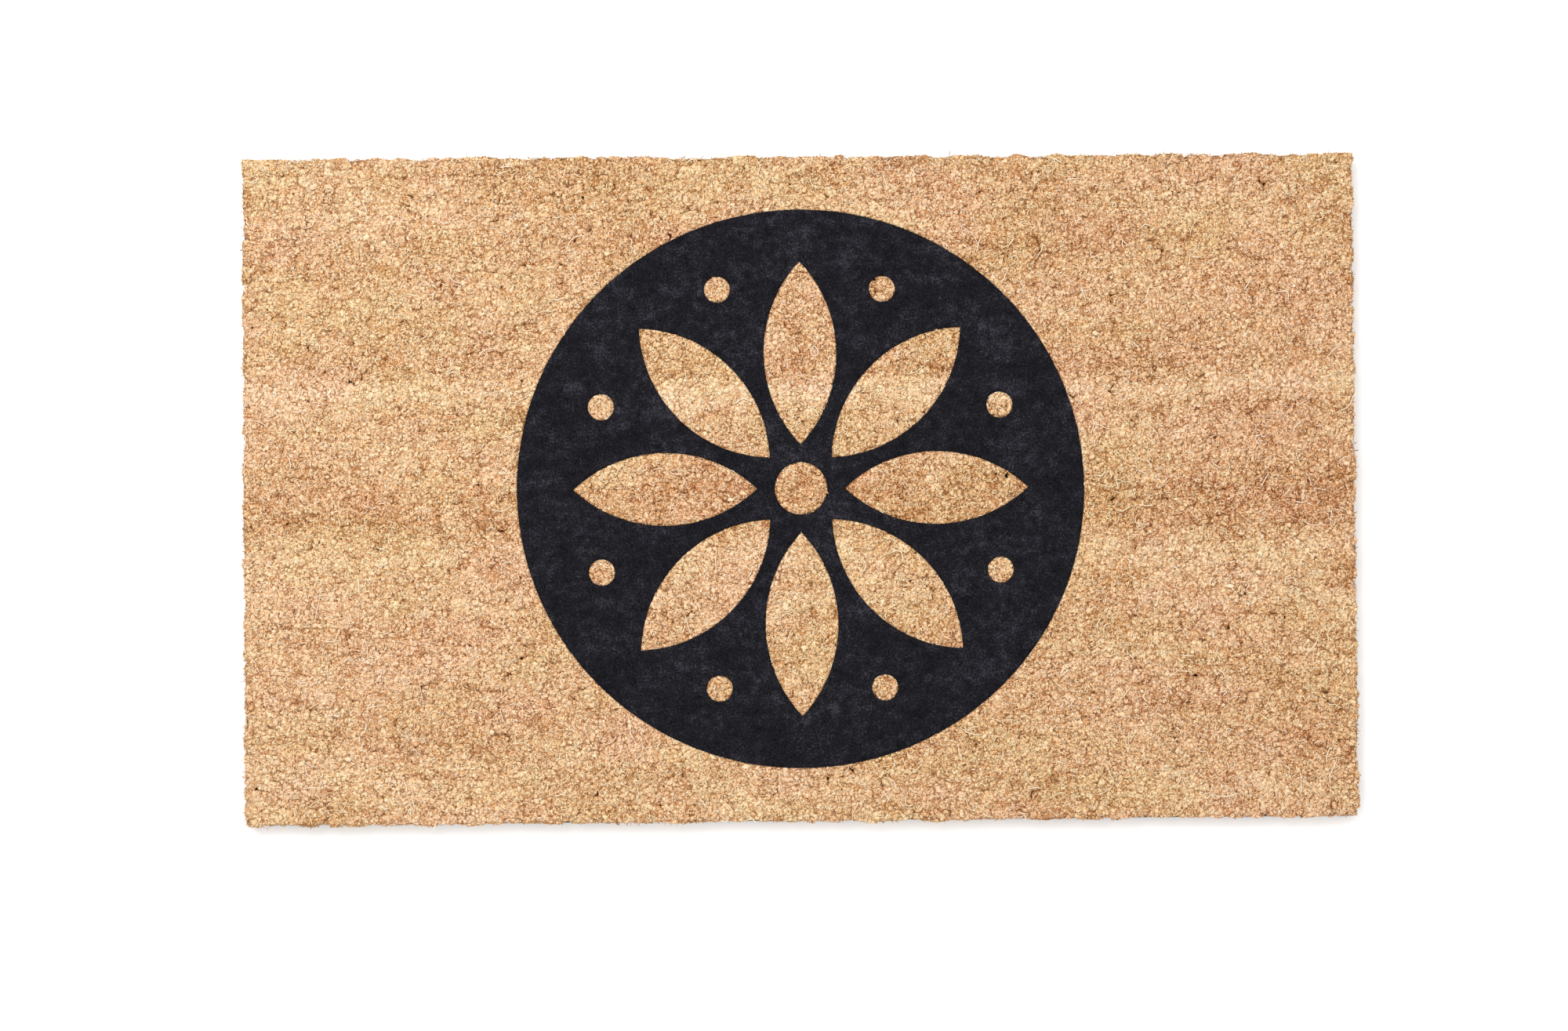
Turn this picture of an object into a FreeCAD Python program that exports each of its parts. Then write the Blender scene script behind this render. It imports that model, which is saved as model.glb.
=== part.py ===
import FreeCAD, Part
import math
import os
import Sketcher

# Coir door mat, lying flat. Its origin is the centre of its underside: +X runs along the long side,
# +Y runs towards the far long side and +Z points up, out of the pile.
#
# The mat is a cast backing sheet with a groove for each row of yarn tufts. The rows stand in the grooves,
# three rows to a named group, and a thin disc of print paste lies on top of them.

DRIVING_DIMENSIONS = {
    "mat_length": 762.0,         # along X, 30 in
    "mat_width": 456.0,          # along Y: every row of tufts at its pitch, 18 in nominal
    "backing_thickness": 2.8,
    "corner_radius": 1.5,        # the knife-cut corners of the backing
    "seat_depth": 1.4,           # how deep the tufts are bedded in the backing
    "seat_width": 4.8,           # across one groove
    "seat_overrun": 2.0,         # how far the cutter of a groove runs past each end of the backing
    "row_pitch": 6.08,           # from one row of tufts to the next
    "row_count": 75,
    "rows_per_group": 3,
    "foot_width": 4.5,           # across a row where it stands in its groove
    "foot_length": 760.6,
    "row_flare": 2.6,            # degrees: the sides of a row lean out as the cut yarn opens
    "pile_top": 15.6,            # height of the cut tips above the ground
    "print_thickness": 0.4,
    "disc_length": 389.0,        # along X
    "disc_width": 383.0,         # along Y
    "petal_count": 8,
    "petal_inner": 30.0,         # from the disc's centre to a petal's inner tip
    "petal_outer": 156.0,        # from the disc's centre to a petal's outer tip
    "petal_width": 50.0,
    "heart_diameter": 36.0,      # the open circle in the middle of the petals
    "bead_diameter": 18.0,       # the small open circles between the petals' outer tips
    "bead_distance": 148.0,      # from the disc's centre to a bead's centre
}
GROUP_COUNT = DRIVING_DIMENSIONS["row_count"] // DRIVING_DIMENSIONS["rows_per_group"]
WHOLE_TURN = 360.0
VOLUME_TOLERANCE = 1e-4          # share of the expected volume

# Rough sizes that a sketch is drawn with, until its own constraints set the real ones.
DRAFT_LENGTH = 200.0
DRAFT_WIDTH = 4.0
DRAFT_DISTANCE = 100.0
DRAFT_RADIUS = 5.0

doc = FreeCAD.newDocument("door_mat")


def make_sheet():
    """The driving dimensions in a spreadsheet, one to a row, each with its alias."""
    sheet = doc.addObject("Spreadsheet::Sheet", "dimensions")
    for row, (alias, value) in enumerate(DRIVING_DIMENSIONS.items(), start=1):
        sheet.set(f"A{row}", alias)
        sheet.set(f"B{row}", str(value))
        sheet.setAlias(f"B{row}", alias)
    doc.recompute()


def size(name):
    """One driving dimension, for checks and for a sketch's first guess."""
    return DRIVING_DIMENSIONS[name]


def new_body(name):
    body = doc.addObject("PartDesign::Body", name)
    body.Label = name
    return body


def new_sketch(body, name, height="0"):
    """An empty sketch on the body's XY plane, raised to a height given as an expression."""
    sketch = body.newObject("Sketcher::SketchObject", name)
    floor = next(item for item in body.Origin.OriginFeatures if item.Role == "XY_Plane")
    sketch.AttachmentSupport = [(floor, "")]
    sketch.MapMode = "FlatFace"
    sketch.setExpression("AttachmentOffset.Base.z", height)
    return sketch


def drive(sketch, constraint, expression):
    """Add a sized constraint and tie its value to the spreadsheet."""
    index = sketch.addConstraint(constraint)
    sketch.setExpression(f"Constraints[{index}]", expression)


def add_rectangle(sketch, length, width, centre="0"):
    """Four lines centred on the Y axis; centre is the distance of its middle from the X axis."""
    half_length, half_width = DRAFT_LENGTH / 2, DRAFT_WIDTH / 2
    corners = [
        FreeCAD.Vector(-half_length, -half_width, 0),
        FreeCAD.Vector(half_length, -half_width, 0),
        FreeCAD.Vector(half_length, half_width, 0),
        FreeCAD.Vector(-half_length, half_width, 0),
    ]
    for start, end in zip(corners, corners[1:] + corners[:1]):
        sketch.addGeometry(Part.LineSegment(start, end))
    for side in range(4):
        sketch.addConstraint(Sketcher.Constraint("Coincident", side, 2, (side + 1) % 4, 1))
    sketch.addConstraint(Sketcher.Constraint("Symmetric", 0, 1, 0, 2, -2))
    sketch.addConstraint(Sketcher.Constraint("Horizontal", 2))
    for side in (1, 3):
        sketch.addConstraint(Sketcher.Constraint("Vertical", side))
    drive(sketch, Sketcher.Constraint("DistanceX", 0, 1, 0, 2, 2 * half_length), length)
    drive(sketch, Sketcher.Constraint("DistanceY", 1, 1, 1, 2, 2 * half_width), width)
    drive(sketch, Sketcher.Constraint("DistanceY", -1, 1, 0, 1, -half_width), f"{centre} - {width} / 2")


def repeat_rows(body, feature, sketch, count):
    """Repeat a feature along Y, one row pitch apart."""
    pattern = body.newObject("PartDesign::LinearPattern", f"{body.Name}_rows")
    pattern.Originals = [feature]
    pattern.Direction = (sketch, ["V_Axis"])
    pattern.Mode = "Spacing"
    pattern.setExpression("Offset", "dimensions.row_pitch")
    pattern.setExpression("Occurrences", count)
    body.Tip = pattern


def make_backing():
    """The cast sheet: a plate with cut corners and one open-ended groove for each row of tufts."""
    body = new_body("backing_sheet")
    outline = new_sketch(body, "backing_outline")
    add_rectangle(outline, "dimensions.mat_length", "dimensions.mat_width")
    plate = body.newObject("PartDesign::Pad", "backing_plate")
    plate.Profile = outline
    plate.setExpression("Length", "dimensions.backing_thickness")
    doc.recompute()

    corners = body.newObject("PartDesign::Fillet", "backing_corners")
    upright = [
        f"Edge{index}"
        for index, edge in enumerate(plate.Shape.Edges, start=1)
        if abs(edge.Vertexes[0].Z - edge.Vertexes[-1].Z) > size("backing_thickness") / 2
    ]
    corners.Base = (plate, upright)
    corners.setExpression("Radius", "dimensions.corner_radius")
    doc.recompute()

    first_row = "-(dimensions.row_count - 1) / 2 * dimensions.row_pitch"
    seat = new_sketch(body, "seat_outline", "dimensions.backing_thickness")
    groove_length = "dimensions.mat_length + 2 * dimensions.seat_overrun"
    add_rectangle(seat, groove_length, "dimensions.seat_width", first_row)
    groove = body.newObject("PartDesign::Pocket", "seat_groove")
    groove.Profile = seat
    groove.setExpression("Length", "dimensions.seat_depth")
    doc.recompute()
    repeat_rows(body, groove, seat, "dimensions.row_count")
    return body


def make_tuft_group(number):
    """Three rows of tufts, each row one solid that stands in its groove and opens towards its tips."""
    body = new_body(f"tuft_rows_{number:02d}")
    floor = "dimensions.backing_thickness - dimensions.seat_depth"
    foot = new_sketch(body, f"foot_{number:02d}", floor)
    add_rectangle(foot, "dimensions.foot_length", "dimensions.foot_width")
    row = body.newObject("PartDesign::Pad", f"row_{number:02d}")
    row.Profile = foot
    row.setExpression("Length", f"dimensions.pile_top - ({floor})")
    row.setExpression("TaperAngle", "dimensions.row_flare")
    repeat_rows(body, row, foot, "dimensions.rows_per_group")
    first_row = f"{number - 1} * dimensions.rows_per_group - (dimensions.row_count - 1) / 2"
    body.setExpression("Placement.Base.y", f"({first_row}) * dimensions.row_pitch")
    return body


def add_ellipse(sketch, length, width):
    """An ellipse centred on the origin, driven by its two diameters."""
    half_length, half_width = size("disc_length") / 2, size("disc_width") / 2
    ends = FreeCAD.Vector(half_length, 0, 0), FreeCAD.Vector(0, half_width, 0)
    ellipse = sketch.addGeometry(Part.Ellipse(*ends, FreeCAD.Vector(0, 0, 0)))
    sketch.exposeInternalGeometry(ellipse)
    long_axis, short_axis = ellipse + 1, ellipse + 2
    sketch.addConstraint(Sketcher.Constraint("Coincident", ellipse, 3, -1, 1))
    sketch.addConstraint(Sketcher.Constraint("Horizontal", long_axis))
    drive(sketch, Sketcher.Constraint("Distance", long_axis, 2 * half_length), length)
    drive(sketch, Sketcher.Constraint("Distance", short_axis, 2 * half_width), width)


def add_petal(sketch):
    """A pointed petal along +X: two equal arcs between the inner and the outer tip."""
    inner, outer, width = size("petal_inner"), size("petal_outer"), size("petal_width")
    tips = FreeCAD.Vector(inner, 0, 0), FreeCAD.Vector(outer, 0, 0)
    for side in (-1, 1):
        bulge = FreeCAD.Vector((inner + outer) / 2, side * width / 2, 0)
        start, end = tips if side < 0 else tips[::-1]
        sketch.addGeometry(Part.Arc(start, bulge, end))
    sketch.addConstraint(Sketcher.Constraint("Coincident", 0, 2, 1, 1))
    sketch.addConstraint(Sketcher.Constraint("Coincident", 1, 2, 0, 1))
    sketch.addConstraint(Sketcher.Constraint("PointOnObject", 0, 1, -1))
    sketch.addConstraint(Sketcher.Constraint("PointOnObject", 0, 2, -1))
    sketch.addConstraint(Sketcher.Constraint("Equal", 0, 1))
    drive(sketch, Sketcher.Constraint("DistanceX", -1, 1, 0, 1, inner), "dimensions.petal_inner")
    drive(sketch, Sketcher.Constraint("DistanceX", -1, 1, 0, 2, outer), "dimensions.petal_outer")
    chord = "(dimensions.petal_outer - dimensions.petal_inner)"
    radius = f"({chord}^2 + dimensions.petal_width^2) / (4 * dimensions.petal_width)"
    drive(sketch, Sketcher.Constraint("Radius", 0, petal_radius()), radius)


def petal_radius():
    """The radius of a petal's two arcs."""
    chord = size("petal_outer") - size("petal_inner")
    width = size("petal_width")
    return (chord**2 + width**2) / (4 * width)


def cut_through(body, sketch, name):
    """An opening right through the print, downwards from the sketch."""
    opening = body.newObject("PartDesign::Pocket", name)
    opening.Profile = sketch
    opening.setExpression("Length", "dimensions.print_thickness")
    doc.recompute()
    return opening


def add_circle(sketch, diameter, distance):
    """A circle centred on the X axis, at a distance from the origin."""
    centre = FreeCAD.Vector(DRAFT_DISTANCE, 0, 0)
    sketch.addGeometry(Part.Circle(centre, FreeCAD.Vector(0, 0, 1), DRAFT_RADIUS))
    sketch.addConstraint(Sketcher.Constraint("PointOnObject", 0, 3, -1))
    drive(sketch, Sketcher.Constraint("DistanceX", -1, 1, 0, 3, DRAFT_DISTANCE), distance)
    drive(sketch, Sketcher.Constraint("Diameter", 0, 2 * DRAFT_RADIUS), diameter)


def make_print():
    """The printed disc: a thin layer on the tips, open where the figure of petals shows bare coir."""
    body = new_body("printed_disc")
    top = "dimensions.pile_top + dimensions.print_thickness"
    outline = new_sketch(body, "disc_outline", "dimensions.pile_top")
    add_ellipse(outline, "dimensions.disc_length", "dimensions.disc_width")
    layer = body.newObject("PartDesign::Pad", "disc_layer")
    layer.Profile = outline
    layer.setExpression("Length", "dimensions.print_thickness")
    doc.recompute()

    heart = new_sketch(body, "heart_outline", top)
    heart.addGeometry(Part.Circle(FreeCAD.Vector(0, 0, 0), FreeCAD.Vector(0, 0, 1), DRAFT_RADIUS))
    heart.addConstraint(Sketcher.Constraint("Coincident", 0, 3, -1, 1))
    drive(heart, Sketcher.Constraint("Diameter", 0, 2 * DRAFT_RADIUS), "dimensions.heart_diameter")
    cut_through(body, heart, "heart")

    petal = new_sketch(body, "petal_outline", top)
    add_petal(petal)
    petal_opening = cut_through(body, petal, "petal")

    bead = new_sketch(body, "bead_outline", top)
    add_circle(bead, "dimensions.bead_diameter", "dimensions.bead_distance")
    half_step = f"{WHOLE_TURN} deg / dimensions.petal_count / 2"
    bead.setExpression("AttachmentOffset.Rotation.Angle", half_step)
    bead_opening = cut_through(body, bead, "bead")

    ring = body.newObject("PartDesign::PolarPattern", "petal_ring")
    ring.Originals = [petal_opening, bead_opening]
    ring.Axis = (outline, ["N_Axis"])
    ring.Angle = WHOLE_TURN
    ring.setExpression("Occurrences", "dimensions.petal_count")
    body.Tip = ring
    return body


def check_document(parts):
    """Stop if any feature failed or any sub-part has no valid shape."""
    doc.recompute()
    for item in doc.Objects:
        failed = [state for state in item.State if state in ("Invalid", "Error")]
        if failed:
            raise RuntimeError(f"{item.Name} is {failed}")
    for part in parts:
        if part.Shape.isNull() or not part.Shape.isValid():
            raise RuntimeError(f"{part.Label} has no valid shape")


def expect_volume(part, expected):
    """Stop if a cut or a pattern did not change the solid by the volume that it should."""
    found = part.Shape.Volume
    print(f"{part.Label}: {found:.0f} mm3, {len(part.Shape.Solids)} solid(s)")
    if abs(found - expected) > VOLUME_TOLERANCE * expected:
        raise RuntimeError(f"{part.Label}: {found:.1f} mm3 instead of {expected:.1f}")


def backing_volume():
    corner_waste = (4 - math.pi) * size("corner_radius") ** 2
    plate = (size("mat_length") * size("mat_width") - corner_waste) * size("backing_thickness")
    groove = size("mat_length") * size("seat_width") * size("seat_depth")
    return plate - size("row_count") * groove


def group_volume():
    height = size("pile_top") - size("backing_thickness") + size("seat_depth")
    spread = 2 * height * math.tan(math.radians(size("row_flare")))

    def section(share):
        return (size("foot_length") + share * spread) * (size("foot_width") + share * spread)

    return size("rows_per_group") * height * (section(0) + 4 * section(0.5) + section(1)) / 6


def print_volume():
    disc = math.pi / 4 * size("disc_length") * size("disc_width")
    heart = math.pi / 4 * size("heart_diameter") ** 2
    bead = math.pi / 4 * size("bead_diameter") ** 2
    radius = petal_radius()
    half_angle = math.asin((size("petal_outer") - size("petal_inner")) / 2 / radius)
    petal = radius**2 * (2 * half_angle - math.sin(2 * half_angle))
    openings = heart + size("petal_count") * (petal + bead)
    return (disc - openings) * size("print_thickness")


def main():
    make_sheet()
    backing = make_backing()
    groups = [make_tuft_group(number) for number in range(1, GROUP_COUNT + 1)]
    disc = make_print()
    parts = [backing, *groups, disc]
    check_document(parts)
    expect_volume(backing, backing_volume())
    for group in groups:
        expect_volume(group, group_volume())
    expect_volume(disc, print_volume())
    os.makedirs("parts", exist_ok=True)
    for part in parts:
        part.Shape.exportStep(f"parts/{part.Label}.step")


main()
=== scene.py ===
import math

import bpy
import numpy as np
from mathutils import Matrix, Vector, geometry


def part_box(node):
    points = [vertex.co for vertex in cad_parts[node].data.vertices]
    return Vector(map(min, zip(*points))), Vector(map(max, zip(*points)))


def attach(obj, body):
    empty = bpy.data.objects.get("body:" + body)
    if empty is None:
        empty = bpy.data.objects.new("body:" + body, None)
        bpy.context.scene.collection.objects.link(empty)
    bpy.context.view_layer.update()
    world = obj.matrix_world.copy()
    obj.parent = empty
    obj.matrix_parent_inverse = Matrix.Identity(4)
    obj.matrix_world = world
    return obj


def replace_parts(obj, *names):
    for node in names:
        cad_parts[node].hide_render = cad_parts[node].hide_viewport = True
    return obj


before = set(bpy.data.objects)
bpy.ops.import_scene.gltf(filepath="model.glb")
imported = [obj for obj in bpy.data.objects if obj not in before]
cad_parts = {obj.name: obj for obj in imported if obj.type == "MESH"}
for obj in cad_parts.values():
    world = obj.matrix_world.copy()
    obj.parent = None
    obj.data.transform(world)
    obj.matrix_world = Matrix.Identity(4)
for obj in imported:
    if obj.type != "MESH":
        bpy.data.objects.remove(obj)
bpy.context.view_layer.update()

# A coir door mat: a cast vinyl backing, about 9,500 tufts of cut coconut yarn that stand on it in rows, and
# a dark printed disc on their tips, open where a figure of eight petals shows bare coir. All sizes are in
# metres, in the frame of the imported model.

MM = 0.001
RNG = np.random.default_rng(75)

# ---- sizes read from the frame ---------------------------------------------------------------------------

_, BACKING_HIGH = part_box("backing_sheet")
_, PRINT_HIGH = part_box("printed_disc")
GROUPS = sorted(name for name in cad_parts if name.startswith("tuft_rows_"))
ROWS_PER_GROUP = 3
ROW_COUNT = ROWS_PER_GROUP * len(GROUPS)
HALF_LENGTH, HALF_WIDTH = BACKING_HIGH.x, BACKING_HIGH.y
ROW_PITCH = 2 * HALF_WIDTH / ROW_COUNT
TUFTS_PER_ROW = 127
TUFT_PITCH = 2 * HALF_LENGTH / TUFTS_PER_ROW
BACKING_TOP = BACKING_HIGH.z
PILE_TOP = PRINT_HIGH.z

# ---- the printed figure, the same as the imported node's ---------------------------------------------------

DISC_HALF_LENGTH, DISC_HALF_WIDTH = PRINT_HIGH.x, PRINT_HIGH.y
RIM_POINTS = 720
PETAL_COUNT = 8
PETAL_STEP = 2 * math.pi / PETAL_COUNT
PETAL_INNER, PETAL_OUTER, PETAL_WIDTH = 30 * MM, 156 * MM, 50 * MM
PETAL_MIDDLE = (PETAL_INNER + PETAL_OUTER) / 2
HALF_PETAL = (PETAL_OUTER - PETAL_INNER) / 2
PETAL_ARC_RADIUS = (HALF_PETAL**2 + (PETAL_WIDTH / 2) ** 2) / PETAL_WIDTH
PETAL_ARC_POINTS = 33
HEART_RADIUS, HEART_POINTS = 18 * MM, 40
BEAD_RADIUS, BEAD_POINTS = 9 * MM, 24
BEAD_DISTANCE = 148 * MM


def around(count):
    """Evenly spaced angles, once round a circle."""
    return np.linspace(0, 2 * math.pi, count + 1)[:-1]


def turned(points, angle):
    """Points in the plane, turned about the origin."""
    cosine, sine = math.cos(angle), math.sin(angle)
    return points @ np.array([[cosine, sine], [-sine, cosine]])


def figure_outlines():
    """The closed outlines of the openings in the print: the heart, the petals and the beads."""
    reach = math.asin(HALF_PETAL / PETAL_ARC_RADIUS)
    swing = np.linspace(-reach, reach, PETAL_ARC_POINTS)
    along = PETAL_MIDDLE + PETAL_ARC_RADIUS * np.sin(swing)
    across = PETAL_ARC_RADIUS * (np.cos(swing) - math.cos(reach))
    petal = np.concatenate([np.c_[along, -across][:-1], np.c_[along, across][:0:-1]])
    turn = around(BEAD_POINTS)
    bead = np.c_[BEAD_DISTANCE + BEAD_RADIUS * np.cos(turn), BEAD_RADIUS * np.sin(turn)]
    turn = around(HEART_POINTS)
    outlines = [HEART_RADIUS * np.c_[np.cos(turn), np.sin(turn)]]
    for step in range(PETAL_COUNT):
        outlines.append(turned(petal, PETAL_STEP * step))
        outlines.append(turned(bead, PETAL_STEP * (step + 0.5)))
    return outlines


def print_depth(x, y):
    """How far a point is inside the printed area, in metres; less than nothing outside it."""
    disc = (1 - np.hypot(x / DISC_HALF_LENGTH, y / DISC_HALF_WIDTH)) * DISC_HALF_WIDTH
    distance, turn = np.hypot(x, y), np.arctan2(y, x)
    petal_turn = (turn + PETAL_STEP / 2) % PETAL_STEP - PETAL_STEP / 2
    bead_turn = turn % PETAL_STEP - PETAL_STEP / 2
    along = distance * np.cos(petal_turn) - PETAL_MIDDLE
    across = np.abs(distance * np.sin(petal_turn)) + PETAL_ARC_RADIUS - PETAL_WIDTH / 2
    petal = np.hypot(along, across) - PETAL_ARC_RADIUS
    bead = np.hypot(distance * np.cos(bead_turn) - BEAD_DISTANCE, distance * np.sin(bead_turn)) - BEAD_RADIUS
    return np.minimum.reduce([disc, petal, bead, distance - HEART_RADIUS])


# ---- meshes from arrays ----------------------------------------------------------------------------------

EVEN_TONE = 0.5
NO_QUADS, NO_TRIANGLES = np.empty((0, 4), int), np.empty((0, 3), int)
STEEP = 0.9                          # rise of a unit vector that is nearly upright
TINY = 1e-12                         # keeps a vector without length from being divided by nothing


class Stock:
    """Gathers the points, faces and tones of one piece."""

    def __init__(self):
        self.points, self.tones, self.quads, self.triangles = [], [], [], []
        self.smooth_quads, self.smooth_triangles = [], []
        self.count = 0

    def add(self, points, tones, quads, triangles, smooth=True):
        """Faces over new points, with one tone to a point or one for them all."""
        self.points.append(points.reshape(-1, 3))
        self.tones.append(np.broadcast_to(tones, len(self.points[-1])).ravel())
        self.quads.append(quads.reshape(-1, 4) + self.count)
        self.triangles.append(triangles.reshape(-1, 3) + self.count)
        self.smooth_quads.append(np.full(len(self.quads[-1]), smooth))
        self.smooth_triangles.append(np.full(len(self.triangles[-1]), smooth))
        self.count += len(self.points[-1])

    def add_solids(self, points, tones, quads, triangles, smooth=True):
        """Many solids with the same faces: points (solids, points, 3), and the faces of one of them."""
        first = points.shape[1] * np.arange(len(points))[:, None, None]
        self.add(points, tones, quads + first, triangles + first, smooth)

    def piece(self, name, material):
        """The gathered mesh as a Blender object, riding on the mat."""
        points, tones = np.concatenate(self.points), np.concatenate(self.tones)
        quads, triangles = np.concatenate(self.quads), np.concatenate(self.triangles)
        corners = np.concatenate([quads.ravel(), triangles.ravel()]).astype(np.int32)
        starts = np.concatenate([
            4 * np.arange(len(quads)),
            4 * len(quads) + 3 * np.arange(len(triangles)),
        ]).astype(np.int32)
        mesh = bpy.data.meshes.new(name)
        mesh.vertices.add(len(points))
        mesh.vertices.foreach_set("co", points.astype(np.float32).ravel())
        mesh.loops.add(len(corners))
        mesh.loops.foreach_set("vertex_index", corners)
        mesh.polygons.add(len(starts))
        mesh.polygons.foreach_set("loop_start", starts)
        mesh.update(calc_edges=True)
        mesh.polygons.foreach_set("use_smooth", np.concatenate(self.smooth_quads + self.smooth_triangles))
        mesh.attributes.new("tone", "FLOAT", "POINT").data.foreach_set("value", tones.astype(np.float32))
        mesh.materials.append(material)
        piece = bpy.data.objects.new(name, mesh)
        bpy.context.scene.collection.objects.link(piece)
        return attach(piece, "root")


def stack_faces(rings, sides):
    """The quads round a stack of rings of points, and the triangles that close its first and its last ring.

    The rings turn anticlockwise as seen from the last one, so that every face looks outward.
    """
    index = np.arange(rings * sides).reshape(rings, sides)
    near, far = index[:-1], index[1:]
    quads = np.stack([near, np.roll(near, -1, 1), np.roll(far, -1, 1), far], axis=-1).reshape(-1, 4)
    fan = np.array([(0, k, k + 1) for k in range(1, sides - 1)])
    return quads, index[0][turned_over(fan)], index[-1][fan]


def turned_over(triangles):
    """Triangles that look the other way."""
    return triangles[:, [0, 2, 1]]


def unit(vectors):
    """Vectors brought to a length of one."""
    return vectors / (np.linalg.norm(vectors, axis=-1, keepdims=True) + TINY)


def tubes(stock, paths, radii, tones, sides=3):
    """Closed tubes along paths (count, points, 3), with a radius at each point and one tone to a tube.

    Three-sided tubes have flat faces, because a smooth normal is too far from such a face and darkens it.
    """
    count, length = paths.shape[:2]
    heading = unit(np.gradient(paths, axis=1))
    upright = np.abs(heading[..., 2:]) > STEEP
    side = unit(np.cross(heading, np.where(upright, [1.0, 0.0, 0.0], [0.0, 0.0, 1.0])))
    other = np.cross(heading, side)
    turn = around(sides) + RNG.uniform(0, 2 * math.pi, (count, 1, 1))
    ring = side[:, :, None] * np.cos(turn)[..., None] + other[:, :, None] * np.sin(turn)[..., None]
    points = paths[:, :, None] + ring * np.broadcast_to(radii, (count, length))[:, :, None, None]
    quads, foot, tip = stack_faces(length, sides)
    each = np.repeat(np.broadcast_to(tones, count), length * sides)
    triangles = np.concatenate([foot, tip])
    stock.add_solids(points.reshape(count, -1, 3), each, quads, triangles, smooth=sides > 3)


def slivers(stock, starts, middles, ends, radii, tones):
    """Closed bent fibres with flat faces, pointed at both ends and three-sided at the middle."""
    heading = ends - starts
    side = unit(np.cross(heading, [0.0, 0.0, 1.0]))
    other = unit(np.cross(heading, side))
    turn = around(3) + RNG.uniform(0, 2 * math.pi, (len(starts), 1))
    ring = side[:, None] * np.cos(turn)[..., None] + other[:, None] * np.sin(turn)[..., None]
    points = np.concatenate([
        starts[:, None], middles[:, None] + ring * radii.reshape(-1, 1, 1), ends[:, None],
    ], axis=1)
    sides = [(0, 1 + (k + 1) % 3, 1 + k) for k in range(3)]
    sides += [(4, 1 + k, 1 + (k + 1) % 3) for k in range(3)]
    stock.add_solids(points, np.repeat(tones, 5), NO_QUADS, np.array(sides), smooth=False)


def smooth_waves(x, y, count, shortest, longest, stretch=1.0):
    """A gentle random surface about -1 to 1 high; stretch makes it longer along X than along Y."""
    height = np.zeros_like(x)
    for _ in range(count):
        length = RNG.uniform(shortest, longest)
        turn, phase = RNG.uniform(0, 2 * math.pi, 2)
        height += np.sin(2 * math.pi / length * (x * math.cos(turn) / stretch + y * math.sin(turn)) + phase)
    return height / math.sqrt(count / 2) / 2


# ---- where the tufts stand -------------------------------------------------------------------------------

TUFT_INSET = 2.4 * MM                # no tuft's middle is nearer the cut edge than this
PITCH_SPREAD, PITCH_LIMITS = 0.17, (0.5, 1.5)        # of the steps along a row, as shares of the mean step
ROW_SWAY = 1.1 * MM
SHIFT_ALONG, SHIFT_ACROSS = 0.5 * MM, 0.85 * MM
TUFT_RADIUS, RADIUS_SPREAD, RADIUS_LIMITS = 3.5 * MM, 0.4 * MM, (2.4 * MM, 4.5 * MM)

# How far a tuft's top may stand past the edge of the mat: the mean, a slow sway and the tuft's own share.
PROUD_MEAN, PROUD_SWAY, PROUD_SPREAD = -0.3 * MM, 0.5 * MM, 0.8 * MM

# Tone runs from 0, dark brown, to 1, pale straw. These bands run along the rows, where a paler or browner
# yarn was used: (distance from the middle towards the far side, half width, change of tone).
YARN_BANDS = [
    (206 * MM, 12 * MM, -0.01), (166 * MM, 9 * MM, -0.03), (112 * MM, 9 * MM, -0.03),
    (86 * MM, 8 * MM, -0.03), (67 * MM, 7 * MM, 0.14), (-4 * MM, 16 * MM, -0.06),
    (-24 * MM, 7 * MM, -0.06), (-44 * MM, 8 * MM, 0.05), (-74 * MM, 10 * MM, 0.05),
    (-100 * MM, 7 * MM, -0.02), (-170 * MM, 9 * MM, -0.03), (-208 * MM, 8 * MM, 0.03),
]
BAND_SWAY = 5 * MM
MEAN_TONE, TUFT_TONE_SPREAD = 0.5, 0.04
PATCH_TONE = 0.035
END_TO_END_TONE = -0.018             # the right-hand end is browner than the left


def lay_out_tufts():
    """Centres, row numbers, radii, tones and how far each may stand past the edge, for all the tufts."""
    limit_x, limit_y = HALF_LENGTH - TUFT_INSET, HALF_WIDTH - TUFT_INSET
    pitches = np.clip(RNG.normal(1, PITCH_SPREAD, (ROW_COUNT, TUFTS_PER_ROW - 1)), *PITCH_LIMITS)
    steps = np.c_[np.zeros(ROW_COUNT), np.cumsum(pitches, axis=1)]
    x = -limit_x + 2 * limit_x * (steps / steps[:, -1:]).ravel()
    row = np.repeat(np.arange(ROW_COUNT), TUFTS_PER_ROW)
    y = -HALF_WIDTH + (row + 0.5) * ROW_PITCH
    y += ROW_SWAY * smooth_waves(x, y, count=12, shortest=30 * MM, longest=120 * MM)
    x = np.clip(x + RNG.normal(0, SHIFT_ALONG, len(row)), -limit_x, limit_x)
    y = np.clip(y + RNG.normal(0, SHIFT_ACROSS, len(row)), -limit_y, limit_y)
    radius = np.clip(RNG.normal(TUFT_RADIUS, RADIUS_SPREAD, len(row)), *RADIUS_LIMITS)
    tone = MEAN_TONE + END_TO_END_TONE * x / HALF_LENGTH + RNG.normal(0, TUFT_TONE_SPREAD, len(row))
    wander = BAND_SWAY * smooth_waves(x, y, count=6, shortest=60 * MM, longest=300 * MM)
    for middle, half_width, change in YARN_BANDS:
        tone += change * np.exp(-(((y + wander - middle) / half_width) ** 2))
    tone += PATCH_TONE * smooth_waves(x, y, count=24, shortest=18 * MM, longest=110 * MM, stretch=3.0)
    proud = PROUD_MEAN + PROUD_SWAY * smooth_waves(x, y, count=12, shortest=30 * MM, longest=200 * MM)
    proud += RNG.normal(0, PROUD_SPREAD, len(row))
    return np.c_[x, y], row, radius, tone, proud


CENTRES, ROWS, RADII, TONES, PROUD = lay_out_tufts()

# ---- the solid body of the tufts -------------------------------------------------------------------------

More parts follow.
